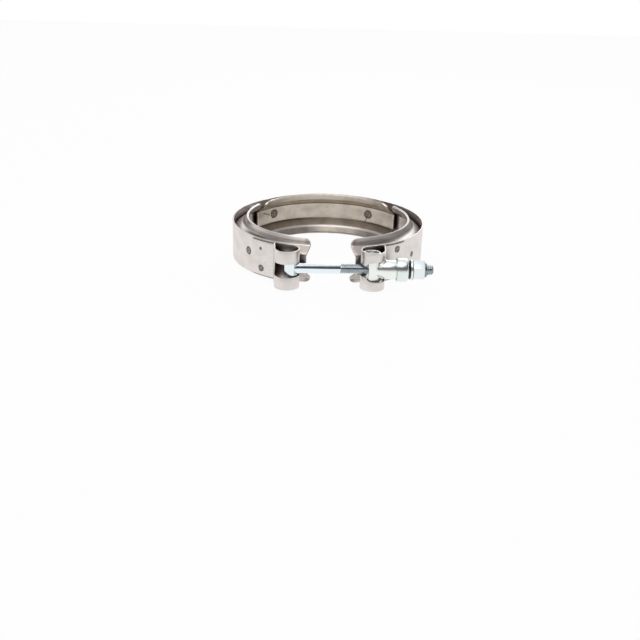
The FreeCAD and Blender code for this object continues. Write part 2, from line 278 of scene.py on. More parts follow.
scene.view_settings.view_transform = "Standard"
make_world()
make_floor()
make_lamp("key_lamp", (-0.2, -0.45, 1.0), (0, 0, 0), (1.0, 0.6), 4)
make_lamp("back_lamp", (0.3, 0.7, 0.6), (0, 0, 0), (0.8, 0.3), 2)

# %% [markdown]
# The strap is one thin sheet. It could be swept as a solid ribbon, but a real one is punched flat and
# then folded, and that is the easy way here too: a flat grid gets its slots, each of its points is
# carried to its place on the folded line, and the sheet gets its thickness last. The flat place of
# each point is kept as its UV, so the grain later runs along the strip wherever it bends.

# %% Sizes in millimetres
STRAP_RADIUS = 54.85
STRAP_SHEET = 0.7
STRAP_HALF_WIDTH = 11.5
LAYER_GAP = 0.05
HINGE_ANGLE = 46.0
OPENING = 6.3
PIVOT_X = 23.05
BOLT_Y = (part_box("t_bolt")[0].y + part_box("t_bolt")[1].y) / 2 / MM


def at(angle, radius, centre=(0, 0)):
    """A point in plan, at an angle in degrees from +X."""
    turn = math.radians(angle)
    return Vector((centre[0] + radius * math.cos(turn), centre[1] + radius * math.sin(turn)))


def side_centre(side):
    """Where a side's arc is centred now that the clamp stands open."""
    hinge = at(90 - HINGE_ANGLE, STRAP_RADIUS)
    swung = Matrix.Rotation(math.radians(OPENING), 2) @ hinge
    centre = hinge - swung
    return Vector((side * centre.x, centre.y))


print("bolt at y", round(BOLT_Y, 2), "left arc centred on", tuple(round(v, 2) for v in side_centre(-1)))

# %% Finishing a piece
SMOOTH_ANGLE = 35


def new_piece(name, bm, smooth_angle=SMOOTH_ANGLE):
    """Makes the object, with its mesh shaded smooth except at sharp edges."""
    mesh = bpy.data.meshes.new(name)
    bm.to_mesh(mesh)
    bm.free()
    piece = bpy.data.objects.new(name, mesh)
    scene.collection.objects.link(piece)
    shade(mesh, smooth_angle)
    return piece


def shade(mesh, smooth_angle):
    mesh.polygons.foreach_set("use_smooth", [True] * len(mesh.polygons))
    mesh.set_sharp_from_angle(angle=math.radians(smooth_angle))


def give_thickness(piece, thickness, edge_round):
    """Turns a sheet into a wall about its middle and breaks its edges, then keeps the result."""
    wall = piece.modifiers.new("wall", "SOLIDIFY")
    wall.thickness, wall.offset, wall.use_even_offset = thickness * MM, 0, True
    round_edges(piece, edge_round)


def round_edges(piece, width, smooth_angle=SMOOTH_ANGLE, segments=2):
    edge = piece.modifiers.new("edge", "BEVEL")
    edge.width, edge.segments, edge.limit_method = width * MM, segments, "ANGLE"
    edge.angle_limit = math.radians(40)
    evaluated = piece.evaluated_get(bpy.context.evaluated_depsgraph_get())
    mesh = bpy.data.meshes.new_from_object(evaluated)
    piece.modifiers.clear()
    piece.data = mesh
    shade(mesh, smooth_angle)


def report(piece):
    sizes = [round(v / MM, 1) for v in piece.dimensions]
    print(piece.name, "faces", len(piece.data.polygons), "box", sizes)


print("finishing helpers ready")

# %% The folded line
LOOP_INNER_RADIUS = {-1: 6.6, 1: 6.4}
HELD_RADIUS = {-1: 4.0, 1: 5.2}
PIVOT_CLEARANCE = 0.1
LOOP_LEAN = 3.0
LANDING_BEND = 1.6
TAIL_END = {-1: 48.5, 1: 45.2}
TAIL_TRIM = 1.1
TAIL_RADIUS = STRAP_RADIUS + STRAP_SHEET + LAYER_GAP
FLEX_START = 90 + HINGE_ANGLE - OPENING / 2


def angle_to(start, end):
    return math.degrees(math.atan2(end.y - start.y, end.x - start.x))


def loop_centre(side):
    """Drawn on the left. The loop is tangent to the side arc and bears on the piece it holds."""
    centre, pivot = side_centre(-1), Vector((-PIVOT_X, BOLT_Y))
    reach = STRAP_RADIUS + LOOP_INNER_RADIUS[side] + STRAP_SHEET / 2
    bearing = LOOP_INNER_RADIUS[side] - HELD_RADIUS[side] - PIVOT_CLEARANCE
    across = pivot - centre
    spacing = across.length
    along = (reach ** 2 - bearing ** 2 + spacing ** 2) / (2 * spacing)
    off = math.sqrt(reach ** 2 - along ** 2)
    unit = across / spacing
    return centre + unit * along - Vector((-unit.y, unit.x)) * off


def folded_line(side):
    """Stations along half the strap, from the middle of the back to the cut end: (length, point,
    run). Drawn on the left; the right is mirrored."""
    centre, loop = side_centre(-1), loop_centre(side)
    radius = LOOP_INNER_RADIUS[side] + STRAP_SHEET / 2
    across, ahead = at(LOOP_LEAN, 1), at(LOOP_LEAN + 90, 1)
    leg_start = loop - across * radius
    start_offset = leg_start - across * LANDING_BEND - centre
    along = start_offset.dot(ahead)
    reach = TAIL_RADIUS + LANDING_BEND
    leg = -along - math.sqrt(along ** 2 - start_offset.dot(start_offset) + reach ** 2)
    leg_end = leg_start + ahead * leg
    bend = leg_end - across * LANDING_BEND
    runs = [
        ("back", Vector((0, 0)), STRAP_RADIUS, 90, FLEX_START, 1.5),
        ("flex", at(FLEX_START, STRAP_RADIUS), at(FLEX_START, STRAP_RADIUS, centre), 1.0),
        ("side", centre, STRAP_RADIUS, FLEX_START, angle_to(centre, loop) + 360, 1.5),
        ("loop", loop, radius, angle_to(loop, centre), LOOP_LEAN - 180, 6.0),
        ("leg", leg_start, leg_end, 0.7),
        ("landing", bend, LANDING_BEND, LOOP_LEAN, angle_to(bend, centre), 9.0),
        ("tail", centre, TAIL_RADIUS, angle_to(bend, centre) + 180, 270 - TAIL_END[side], 1.0),
    ]
    stations, length = [(0.0, at(90, STRAP_RADIUS), "back")], 0.0
    for name, *run in runs:
        if len(run) == 3:
            start, end, step = run
            count = max(1, round((end - start).length / step))
            points = [start.lerp(end, i / count) for i in range(1, count + 1)]
        else:
            middle, arc_radius, start, end, step = run
            turn = end - start
            if name == "side":
                turn %= 360
            elif name == "loop":
                turn %= -360
            elif name != "back":
                turn = (turn + 180) % 360 - 180
            count = max(1, round(abs(turn) / step))
            points = [at(start + turn * i / count, arc_radius, middle) for i in range(1, count + 1)]
        for point in points:
            length += (point - stations[-1][1]).length
            stations.append((length, point, name))
    return stations


for side in (-1, 1):
    line = folded_line(side)
    print("half strap", side, "stations", len(line), "flat length", round(line[-1][0], 1), "mm")

# %% The flat blank and its fold
FAR = 99
# half the slot's height along x: even on the left, and widening for the sleeve on the right
SLOT = {
    -1: [(-FAR, 4.05), (FAR, 4.05)],
    1: [(-FAR, 3.45), (19.55, 3.45), (21.6, 5.5), (28.25, 6.3), (FAR, 6.3)],
}
# how far behind the bolt the slot starts and ends
SLOT_START_BACK = {-1: 4.0, 1: 3.42}
SLOT_END_BACK = {-1: 4.0, 1: 7.13}
NARROWEST_SLOT = 3.4  # faces nearer the middle than this are cut out
GRID_ROWS = 7


def along_outline(outline, x):
    """The height of an outline of (x, height) points at x."""
    for (x0, h0), (x1, h1) in zip(outline, outline[1:]):
        if x <= x1:
            return h0 + (h1 - h0) * max(0.0, (x - x0) / (x1 - x0))
    return outline[-1][1]


def with_slot_ends(stations, side):
    """Adds a station where the slot starts and one where it ends, and says which stations it spans."""
    made, inside, spans = [], False, []
    for before, after in zip(stations, stations[1:]):
        made.append(before)
        limit = BOLT_Y + (SLOT_END_BACK if inside else SLOT_START_BACK)[side]
        crosses = (before[1].y - limit) * (after[1].y - limit) < 0
        if before[2] in ("side", "loop", "leg") and after[2] in ("loop", "leg") and crosses:
            part = (limit - before[1].y) / (after[1].y - before[1].y)
            length = before[0] + (after[0] - before[0]) * part
            made.append((length, before[1].lerp(after[1], part), after[2]))
            spans.append(len(made) - 1)
            inside = not inside
    made.append(stations[-1])
    return made, spans


def square_off_middle(piece):
    """Takes the edge rounding away where the two halves meet, so that no seam shows at the back."""
    bm = bmesh.new()
    bm.from_mesh(piece.data)
    for vertex in bm.verts:
        x, y, z = vertex.co / MM
        if abs(x) < 0.06 and y > 0 and abs(z) < STRAP_HALF_WIDTH - 0.3:
            face = math.copysign(STRAP_SHEET / 2, y - STRAP_RADIUS)
            vertex.co = (0, (STRAP_RADIUS + face) * MM, z * MM)
    bmesh.ops.remove_doubles(bm, verts=bm.verts, dist=1e-6)
    bm.to_mesh(piece.data)
    bm.free()
    shade(piece.data, SMOOTH_ANGLE)


def folded_strap(name, side):
    stations, (first, last) = with_slot_ends(folded_line(side), side)
    outline = SLOT[side]
    columns = len(stations)
    bm = bmesh.new()
    bmesh.ops.create_grid(bm, x_segments=columns - 1, y_segments=GRID_ROWS - 1, size=1)
    flat = bm.loops.layers.uv.new("flat")
    place = {}
    for vertex in bm.verts:
        column = round((vertex.co.x + 1) / 2 * (columns - 1))
        row = round((vertex.co.y + 1) / 2 * (GRID_ROWS - 1)) - GRID_ROWS // 2
        length, point, run = stations[column]
        slot = along_outline(outline, -point.x if first <= column <= last else -FAR)
        landed = run in ("landing", "tail")
        edge = STRAP_HALF_WIDTH - (TAIL_TRIM if landed else 0)
        height = {0: 0, 1: slot, 2: (slot + edge) / 2, 3: edge}[abs(row)]
        height = math.copysign(height, row)
        place[vertex] = (column, length, height)
        vertex.co = (-side * point.x * MM, point.y * MM, height * MM)
    for face in bm.faces:
        for loop in face.loops:
            loop[flat].uv = (place[loop.vert][1] * MM * side, place[loop.vert][2] * MM)
    slot_faces = []
    for face in bm.faces:
        column = [place[v][0] for v in face.verts]
        height = sum(place[v][2] for v in face.verts) / 4
        if first <= min(column) and max(column) <= last and abs(height) < NARROWEST_SLOT:
            slot_faces.append(face)
    bmesh.ops.delete(bm, geom=slot_faces, context="FACES")
    if side > 0:
        bmesh.ops.reverse_faces(bm, faces=bm.faces)
    piece = new_piece(name, bm)
    give_thickness(piece, STRAP_SHEET, 0.09)
    square_off_middle(piece)
    return piece


strap_left = folded_strap("strap_left", -1)
strap_right = folded_strap("strap_right", 1)
report(strap_left)
report(strap_right)

# %% [markdown]
# When the nut is tightened the strap bends between the retainers. Here each half is drawn following the
# back retainer up to that stretch and its own side after it.

# %% The strap's bend
bend_angle = 90 - HINGE_ANGLE + OPENING / 2
start, end = at(bend_angle, STRAP_RADIUS), at(bend_angle, STRAP_RADIUS, side_centre(1))
for piece, side, body in ((strap_left, -1, "left_side"), (strap_right, 1, "right_side")):
    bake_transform(piece)
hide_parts("band")
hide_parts("band")
print("strap bends over", round((end - start).length, 2), "mm")

# %% [markdown]
# Each retainer is a rolled V: a flat web lies under the strap, a slope on either side of it wedges
# over the tubes' flanges, and each slope ends in a lip. It could be cut from a turned ring, but its
# ends flare and its corners are clipped. So the section is spun through its arc, and every point is
# then moved along the arc by as much as the end stands out at that point's height.

# %% Retainers
RIM_RADIUS = 45.0
RIM_HALF_HEIGHT = 13.95
RETAINER_SHEET = 1.2
GROOVE_DEPTH = 8.25
WEB_HALF_HEIGHT = 5.6
FLANGE_RISE = 3.9
LIP_LEAN = 2.7
WEB_BEND, LIP_BEND = 1.8, 2.2
RETAINER_GAP = 3.6
GAP_ANGLE = 60.0
FRONT_WEB_ANGLE = 10.5
FRONT_FLARE, GAP_FLARE = 1.7, 0.7
CORNER = 5.4
LIP_HEIGHT = WEB_HALF_HEIGHT + FLANGE_RISE
WEB_RADIUS = RIM_RADIUS + GROOVE_DEPTH + RETAINER_SHEET / 2
EDGE_DROP = 0.24  # the sheet's middle line ends this far below its cut edge
ARC_STEP = 1.5


def tangent_length(before, corner, after, radius):
    """How far from the corner a bend of that radius starts."""
    angle = (before - corner).angle(after - corner)
    return radius / math.tan(angle / 2)


def end_reach(height, flare):
    """How far past the web's end the sheet stands at a height."""
    points = [
        (0, 0), (WEB_HALF_HEIGHT, 0), (WEB_HALF_HEIGHT + FLANGE_RISE / 2, flare * 0.55),
        (LIP_HEIGHT + 0.3, flare), (11.9, flare * 0.6 - 0.1), (13.1, flare - 0.4 * CORNER),
        (13.7, flare - 0.7 * CORNER), (RIM_HALF_HEIGHT, flare - 1.25 * CORNER),
    ]
    return along_outline(points, abs(height))


def retainer_section():
    """The sheet's middle line at angle 0, from the upper rim to the lower one."""
    edge_radius = RIM_RADIUS + RETAINER_SHEET / 2
    rim = Vector((edge_radius, 0, RIM_HALF_HEIGHT - EDGE_DROP))
    lip = Vector((edge_radius + LIP_LEAN, 0, LIP_HEIGHT))
    web = Vector((WEB_RADIUS, 0, WEB_HALF_HEIGHT))
    lip_bend = tangent_length(rim, lip, web, LIP_BEND)
    web_bend = tangent_length(lip, web, Vector((WEB_RADIUS, 0, 0)), WEB_BEND)
    corners = [rim, lip, web] + [Vector((c.x, 0, -c.z)) for c in (web, lip, rim)]
    bm = bmesh.new()
    chain = [bm.verts.new(c) for c in corners]
    for a, b in zip(chain, chain[1:]):
        bm.edges.new((a, b))
    for pair, reach in (((chain[1], chain[4]), lip_bend), ((chain[2], chain[3]), web_bend)):
        bmesh.ops.bevel(bm, geom=list(pair), offset=reach, offset_type="OFFSET", segments=5, profile=0.5,
                        affect="VERTICES", material=-1)
    bmesh.ops.subdivide_edges(bm, edges=[e for e in bm.edges if e.calc_length() > 1.6], cuts=3)
    return bm


def retainer(name, body, centre, start, end, start_flare, end_flare):
    bm = retainer_section()
    turned = Matrix.Rotation(math.radians(start), 3, "Z")
    bmesh.ops.rotate(bm, verts=bm.verts, cent=(0, 0, 0), matrix=turned)
    steps = round((end - start) / ARC_STEP)
    geom = list(bm.verts) + list(bm.edges)
    bmesh.ops.spin(bm, geom=geom, cent=(0, 0, 0), axis=(0, 0, 1), angle=math.radians(end - start),
                   steps=steps, use_duplicate=False)
    bmesh.ops.remove_doubles(bm, verts=bm.verts, dist=1e-4)
    flat = bm.loops.layers.uv.new("flat")
    middle = (start + end) / 2
    for vertex in bm.verts:
        radius = math.hypot(vertex.co.x, vertex.co.y)
        angle = middle + (math.degrees(math.atan2(vertex.co.y, vertex.co.x)) - middle + 180) % 360 - 180
        share = (angle - start) / (end - start)
        low = start - math.degrees(end_reach(vertex.co.z, start_flare) / radius)
        high = end + math.degrees(end_reach(vertex.co.z, end_flare) / radius)
        new = at(low + (high - low) * share, radius, centre)
        vertex.co = (new.x * MM, new.y * MM, vertex.co.z * MM)
    for face in bm.faces:
        for loop in face.loops:
            here = loop.vert.co
            turn = math.degrees(math.atan2(here.y / MM - centre[1], here.x / MM - centre[0]))
            turn = middle + (turn - middle + 180) % 360 - 180
            loop[flat].uv = (math.radians(turn) * WEB_RADIUS * MM, here.z)
    bmesh.ops.recalc_face_normals(bm, faces=bm.faces)
    piece = new_piece(name, bm)
    give_thickness(piece, RETAINER_SHEET, 0.2)
    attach(piece, body)
    report(piece)
    return piece


half_gap = math.degrees(RETAINER_GAP / 2 / STRAP_RADIUS)
back_end = GAP_ANGLE - half_gap
side_start = GAP_ANGLE + half_gap - OPENING
side_end = 180 - FRONT_WEB_ANGLE
retainer_back = retainer(
    "back_retainer", "root", (0, 0), 90 - back_end, 90 + back_end, GAP_FLARE, GAP_FLARE
)
retainer_left = retainer(
    "left_retainer", "left_side", side_centre(-1), 90 + side_start, 90 + side_end,
    GAP_FLARE, FRONT_FLARE,
)
retainer_right = retainer(
    "right_retainer", "right_side", side_centre(1), 90 - side_end, 90 - side_start,
    FRONT_FLARE, GAP_FLARE,
)
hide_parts("retainer_back")
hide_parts("retainer_left")
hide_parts("retainer_right")

# %% [markdown]
# Turned pieces come from an outline that is spun about the bolt. The thread is a real one: a single V
# is spun with a lift of one pitch a turn, so that each turn ends where the next begins.

# %% Turned pieces
ROUND_STEPS = 64


def spun(name, outline, body, node, edge_round):
    """A piece turned about the bolt's axis from (x, radius) points in millimetres."""
    bm = bmesh.new()
    chain = [bm.verts.new((x * MM, 0, radius * MM)) for x, radius in outline]
    for a, b in zip(chain, chain[1:] + (chain[:1] if outline[0][1] > 0 else [])):
        bm.edges.new((a, b))
    geom = list(bm.verts) + list(bm.edges)
    bmesh.ops.spin(bm, geom=geom, cent=(0, 0, 0), axis=(1, 0, 0), angle=math.tau,
                   steps=ROUND_STEPS, use_merge=True, use_duplicate=False)
    bmesh.ops.remove_doubles(bm, verts=bm.verts, dist=1e-6)
    bmesh.ops.translate(bm, verts=bm.verts, vec=(0, BOLT_Y * MM, 0))
    bmesh.ops.recalc_face_normals(bm, faces=bm.faces)
    piece = new_piece(name, bm)
    round_edges(piece, edge_round)
    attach(piece, body)
    if node:
        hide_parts(node)
    report(piece)
    return piece


BORE = 3.37
COLLAR_RADIUS, NOSE_RADIUS, WASHER_RADIUS = 6.95, 5.3, 6.0
NOSE = 44.2  # where the collar's shoulder ends and its nose starts
collar_low, collar_high = (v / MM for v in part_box("thrust_collar"))
washer_low, washer_high = (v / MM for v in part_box("washer"))
collar = spun(
    "collar",
    [(collar_low.x, BORE), (collar_low.x, COLLAR_RADIUS), (NOSE - 1.45, COLLAR_RADIUS),
     (NOSE - 0.75, COLLAR_RADIUS - 0.2), (NOSE - 0.2, COLLAR_RADIUS - 0.75),
     (NOSE, COLLAR_RADIUS - 1.5), (NOSE, NOSE_RADIUS), (collar_high.x, NOSE_RADIUS),
     (collar_high.x, BORE)],
    "trunnion", "thrust_collar", edge_round=0.12,
)
washer_top = washer_high.x - 0.02  # clear of the nut as that turns on it
washer = spun(
    "flat_washer",
    [(washer_low.x, BORE), (washer_low.x, WASHER_RADIUS), (washer_top, WASHER_RADIUS),
     (washer_top, BORE)],
    "trunnion", "washer", edge_round=0.3,
)

# %% Bolt
NECK_RADIUS, SHANK_RADIUS, THREAD_RADIUS, ROOT_RADIUS, PITCH = 3.5, 2.95, 2.97, 2.40, 1.0
HEAD_RADIUS, HEAD_LENGTH = 4.0, 15.2
BOLT_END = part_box("t_bolt")[1].x / MM
THREAD_LENGTH = 53.1
THREAD_START = BOLT_END - THREAD_LENGTH
STEPS_PER_TURN = 30


def threaded_rod(name, start, end, chamfer):
    """The threaded length, cut square at both ends and closed."""
    bm = bmesh.new()
    turns = math.ceil((end - start) / PITCH) + 2
    profile = [
        (0.0, ROOT_RADIUS), (0.1, ROOT_RADIUS), (0.44, THREAD_RADIUS),
        (0.56, THREAD_RADIUS), (0.9, ROOT_RADIUS), (1.0, ROOT_RADIUS),
    ]
    chain = [bm.verts.new(((start - PITCH + x * PITCH) * MM, 0, r * MM)) for x, r in profile]
    for a, b in zip(chain, chain[1:]):
        bm.edges.new((a, b))
    geom = list(bm.verts) + list(bm.edges)
    bmesh.ops.spin(bm, geom=geom, cent=(0, 0, 0), axis=(1, 0, 0), angle=-math.tau * turns,
                   dvec=(PITCH * MM / STEPS_PER_TURN, 0, 0), steps=STEPS_PER_TURN * turns,
                   use_duplicate=False)
    bmesh.ops.remove_doubles(bm, verts=bm.verts, dist=2e-6)
    for x, sign in ((start, -1), (end, 1)):
        geom = list(bm.verts) + list(bm.edges) + list(bm.faces)
        cut = bmesh.ops.bisect_plane(bm, geom=geom, plane_co=(x * MM, 0, 0), plane_no=(sign, 0, 0),
                                     clear_outer=True)
        rim = [e for e in cut["geom_cut"] if isinstance(e, bmesh.types.BMEdge)]
        bmesh.ops.edgeloop_fill(bm, edges=rim)
    for vertex in bm.verts:
        radius = math.hypot(vertex.co.y, vertex.co.z) / MM
        allowed = THREAD_RADIUS - max(0, vertex.co.x / MM - (end - chamfer))
        if radius > allowed:
            vertex.co.y *= allowed / radius
            vertex.co.z *= allowed / radius
    bmesh.ops.translate(bm, verts=bm.verts, vec=(0, BOLT_Y * MM, 0))
    bmesh.ops.recalc_face_normals(bm, faces=bm.faces)
    piece = new_piece(name, bm, 25)
    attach(piece, "bolt")
    report(piece)
    return piece


thread = threaded_rod("bolt_thread", THREAD_START, BOLT_END, chamfer=0.8)
shank = spun(
    "bolt_shank",
    [(-PIVOT_X, 0), (-PIVOT_X, NECK_RADIUS), (-PIVOT_X + 3.6, NECK_RADIUS),
     (-PIVOT_X + 5.2, SHANK_RADIUS), (THREAD_START - 0.9, SHANK_RADIUS),
     (THREAD_START + 0.4, ROOT_RADIUS - 0.05), (THREAD_START + 0.4, 0)],
    "bolt", None, edge_round=0.15,
)


def cross_head(name):
    bm = bmesh.new()
    bmesh.ops.create_cone(bm, cap_ends=True, segments=ROUND_STEPS, radius1=HEAD_RADIUS * MM,
                          radius2=HEAD_RADIUS * MM, depth=HEAD_LENGTH * MM)
    bmesh.ops.translate(bm, verts=bm.verts, vec=(-PIVOT_X * MM, BOLT_Y * MM, 0))
    piece = new_piece(name, bm)
    round_edges(piece, 0.6, segments=3)
    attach(piece, "bolt")
    return piece


head = cross_head("bolt_head")
for piece in (thread, shank, head):
    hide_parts("t_bolt")

# %% [markdown]
# The trunnion and the nut are carried over from the measured model, where their crossing cylinders
# and chamfered hexagon are exact. A copy of each has its loose triangles joined and its edges broken.

# %% Trunnion and nut
def smoothed_copy(name, node, body, edge_round):
    bm = bmesh.new()
    bm.from_mesh(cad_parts[node].data)
    bmesh.ops.remove_doubles(bm, verts=bm.verts, dist=2e-6)
    bmesh.ops.dissolve_limit(bm, angle_limit=math.radians(0.5), verts=bm.verts, edges=bm.edges)
    piece = new_piece(name, bm, 30)
    round_edges(piece, edge_round, 30)
    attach(piece, body)
    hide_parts(node)
    report(piece)
    return piece


cross_tube = smoothed_copy("cross_tube", "trunnion", "trunnion", 0.1)
nut = smoothed_copy("grip_nut", "lock_nut", "nut", 0.12)

# %% [markdown]
# Shade is painted into the colour where a piece is shut in: behind the loops, between the strap and
# the lips, in the grooves and round the fittings. How open each face is gets measured once with rays
# and is kept as a second UV, "open", which the finishes read. Its other coordinate is 1 where a face
# looks away from the clamp's axis and 0 where it looks towards it.

# %% How open each face is
GOLDEN_ANGLE = 2.399963
LEAST_LIFT = 0.1  # ways that lie flatter on a face than this aren't tried


def fan(count):
    """Directions spread evenly over the sphere."""
    ways = []
    for i in range(count):
        height = 1 - 2 * ((i + 0.5) / count)
        across, turn = math.sqrt(1 - height ** 2), GOLDEN_ANGLE * i
        ways.append(Vector((math.cos(turn) * across, math.sin(turn) * across, height)))
    return ways


def measure_openness(pieces, around, reach=14.0, rays=48):
    """Writes each face's share of rays that get away, evened out over the faces it runs on to smoothly,
    and how far it looks away from the axis."""
    points, faces = [], []
    for piece in around:
        start = len(points)
        points += [v.co.copy() for v in piece.data.vertices]
        faces += [[start + i for i in polygon.vertices] for polygon in piece.data.polygons]
    tree = BVHTree.FromPolygons(points, faces)
    ways = fan(rays)
    for piece in pieces:
        mesh = piece.data
        values = []
        for polygon in mesh.polygons:
            normal, origin = polygon.normal, polygon.center + polygon.normal * (0.05 * MM)
            tried = got_away = 0.0
            for way in ways:
                lift = way.dot(normal)
                if lift > LEAST_LIFT:
                    tried += lift
                    if tree.ray_cast(origin, way, reach * MM)[0] is None:
                        got_away += lift
            values.append(got_away / max(tried, LEAST_LIFT))
        beside = [[] for _ in mesh.vertices]
        for polygon in mesh.polygons:
            for i in polygon.vertices:
                beside[i].append(polygon.index)
        layer = mesh.uv_layers.new(name="open")
        for polygon in mesh.polygons:
            away = Vector((polygon.center.x, polygon.center.y, 0)).normalized()
            outward = 0.5 + 0.5 * polygon.normal.dot(away)
            for corner, i in zip(polygon.loop_indices, polygon.vertices):
                near = [
                    values[j] for j in beside[i] if mesh.polygons[j].normal.dot(polygon.normal) > 0.8
                ]
                layer.data[corner].uv = (sum(near) / len(near), outward)
        print(piece.name, "open from", round(min(values), 2), "to", round(max(values), 2))


sheet_pieces = [strap_left, strap_right, retainer_back, retainer_left, retainer_right]
plated_pieces = [shank, head, collar, washer, cross_tube, nut]
measure_openness(sheet_pieces + plated_pieces, sheet_pieces + plated_pieces)

# %% [markdown]
# Stainless strip is never one grey. Rolling leaves a fine grain along it, handling leaves cloudy
# patches, and each spot weld leaves a burnt spot. All of it is drawn in the flat place of the strip.

# %% Stainless
def marks_mask(tree, flat, marks):
    """1 on the burnt spots at the given (u, v, radius) places in millimetres, blotchy inside."""
    wobble = tree.noise(flat, 900, 2)
    blotch = tree.ease(tree.noise(flat, 1300, 2), 0.38, 0.62, 0.55, 1.0)
    total = None
    for u, v, radius in marks:
        place = (u * MM, v * MM, 0)
        away = tree.vector("DISTANCE", flat, place)[1] + (wobble - 0.5) * (1.2 * MM)
        outer = tree.ease(away, radius * MM, (radius - 0.7) * MM)
        rim = tree.ease(away, (radius - 1.5) * MM, (radius - 0.9) * MM)
        mask = outer * (rim + (1 - rim) * blotch)
        total = mask if total is None else total + mask
    return total


def scratch_mask(tree, flat, start, end, width):
    """1 along a scratch between two (u, v) places in millimetres."""
    first = Vector((start[0] * MM, start[1] * MM, 0))
    way = Vector((end[0] * MM, end[1] * MM, 0)) - first
    from_first = tree.vector("SUBTRACT", flat, first)[0]
    share = tree.vector("DOT_PRODUCT", from_first, way)[1] / way.dot(way)
    share = tree.node("ShaderNodeClamp", inputs={"Value": share})[0]
    nearest = tree.node("ShaderNodeVectorMath", {"operation": "SCALE"}, {0: way, 3: share})[0]
    away = tree.vector("DISTANCE", from_first, nearest)[1]
    away = away + (tree.noise(flat, 1500, 2) - 0.5) * (0.5 * MM)
    return tree.ease(away, width * MM, width * 0.4 * MM)


def open_share(tree):
    """How open a face is, and how much it looks away from the axis."""
    return tree.parts(tree.uv("open"))


def shut_in(tree, colour, darkest, clear=0.8):
    """Painted shade: the colour made darker where the surface is shut in. clear is the share of open
    ways that leaves it as it is."""
    shaded = tree.mix(1.0, colour, darkest, "MULTIPLY")
    return tree.mix(tree.ease(open_share(tree)[0], 0.2, clear), shaded, colour)


SCUFF = (0.25, 0.20, 0.17, 1)
BURNT = (0.07, 0.042, 0.034, 1)
SCORED = (0.08, 0.05, 0.04, 1)
SHADED_STEEL = (0.22, 0.19, 0.18, 1)
# painted shade on the lips' outer faces and the strap's inner faces, with streaky tarnish
SHADE_AND_TARNISH = (0.16, 0.13, 0.12, 1)
# the lips' outer faces made darker near the front tips
TIP_DARKENING = (0.20, 0.15, 0.14, 1)
# painted reflection on the flanges' outer faces: dark at the front, light at the sides
FRONT_FLANGE_SHADE, SIDE_FLANGE_HIGHLIGHT = (0.40, 0.355, 0.335, 1), (0.97, 0.94, 0.92, 1)
# painted shade on the lower flange's inner face
LOW_INSIDE_SHADE = (0.22, 0.18, 0.15, 1)
# painted highlight near the rim on the lips' outer faces at the front
FRONT_LIP_HIGHLIGHT = (0.98, 0.90, 0.86, 1)
# painted shade in the inside bends between the web and the flanges
CREASE_SHADE = (0.14, 0.11, 0.09, 1)
# painted highlight on the inside of the lower lip's bend
BEND_HIGHLIGHT = (1.0, 0.94, 0.91, 1)
# painted highlight along the retainers' cut rims
RIM_HIGHLIGHT = (1.0, 0.99, 0.98, 1)


def lip_shades(tree, flat, colour, rim_highlight_share, side_from_depth):
    """Colour of a retainer's slopes, much of it painted light: painted shade outside the lips, most at
    the sides and with streaky tarnish, and darker near the front tips; a painted reflection outside the
    flanges; painted shade low down inside and in the creases; painted highlights on the lower bend and
    the rim."""
    level = tree.parts(flat)[1]
    height = tree.size(level)
    place = tree.parts(tree.here())
    aside, depth = tree.size(place[0]), place[1]
    outward = tree.ease(open_share(tree)[1], 0.55, 0.75)
    inward = 1 - outward
    lip = tree.band(height, 9.6, 10.6, 13.1, 13.4) * outward
    # 0 at the front and 1 at the sides and back: it sets where the painted reflections and shade change
    at_side = tree.ease(depth, side_from_depth * MM, (side_from_depth + 12) * MM)
    at_tip = tree.ease(aside, 16 * MM, 13.5 * MM) * tree.ease(depth, -20 * MM, -30 * MM)
    flange = tree.band(height, 5.4, 6.4, 9.0, 9.8)
    # painted reflection on the flanges' outer faces, dark at the front and bright at the sides
    flange_reflection = tree.mix(at_side, FRONT_FLANGE_SHADE, SIDE_FLANGE_HIGHLIGHT)
    colour = tree.mix(flange * outward * 0.8, colour, flange_reflection)
    # painted shade low down on the inner faces
    low_inside_shade = tree.band(level, -10.2, -9.2, -5.8, -5.2) * inward
    colour = tree.mix(low_inside_shade * 0.45, colour, LOW_INSIDE_SHADE)
    streak = tree.ease(tree.noise(flat, 1.0, 3, (60, 1100, 1)), 0.35, 0.65)
    # painted shade on the lips' outer faces, strongest at the sides, with streaky tarnish
    colour = tree.mix(lip * (at_side * 0.5 + streak * 0.35), colour, SHADE_AND_TARNISH)
    # painted highlight near the rim on the lips' outer faces at the front
    front_lip_highlight = tree.band(level, 11.2, 12.4, 13.0, 13.4) * (1 - at_side) * outward
    colour = tree.mix(front_lip_highlight * 0.8, colour, FRONT_LIP_HIGHLIGHT)
    # the lips' outer faces darker near the front tips
    colour = tree.mix(lip * at_tip * 0.6, colour, TIP_DARKENING)
    # painted shade in the inside bends between the web and the flanges
    crease_shade = inward * tree.band(height, 5.2, 5.6, 6.1, 6.6)
    colour = tree.mix(crease_shade * 0.6, colour, CREASE_SHADE)
    # painted highlight on the inside of the lower lip's bend
    bend = inward * tree.band(level, -10.4, -9.9, -9.3, -8.9)
    colour = tree.mix(bend * 0.8, colour, BEND_HIGHLIGHT)
    # painted highlight along the cut rim: near white and less metallic
    rim_highlight = tree.ease(height, 13.1 * MM, 13.4 * MM) * rim_highlight_share
    # less metallic on the painted highlights and below the lower bend, so these read paler
    below_bend = inward * tree.ease(level, -9.8 * MM, -10.4 * MM)
    matt = rim_highlight * 0.6 + bend * 0.5 + below_bend * 0.35
    return tree.mix(rim_highlight, colour, RIM_HIGHLIGHT), lip, matt


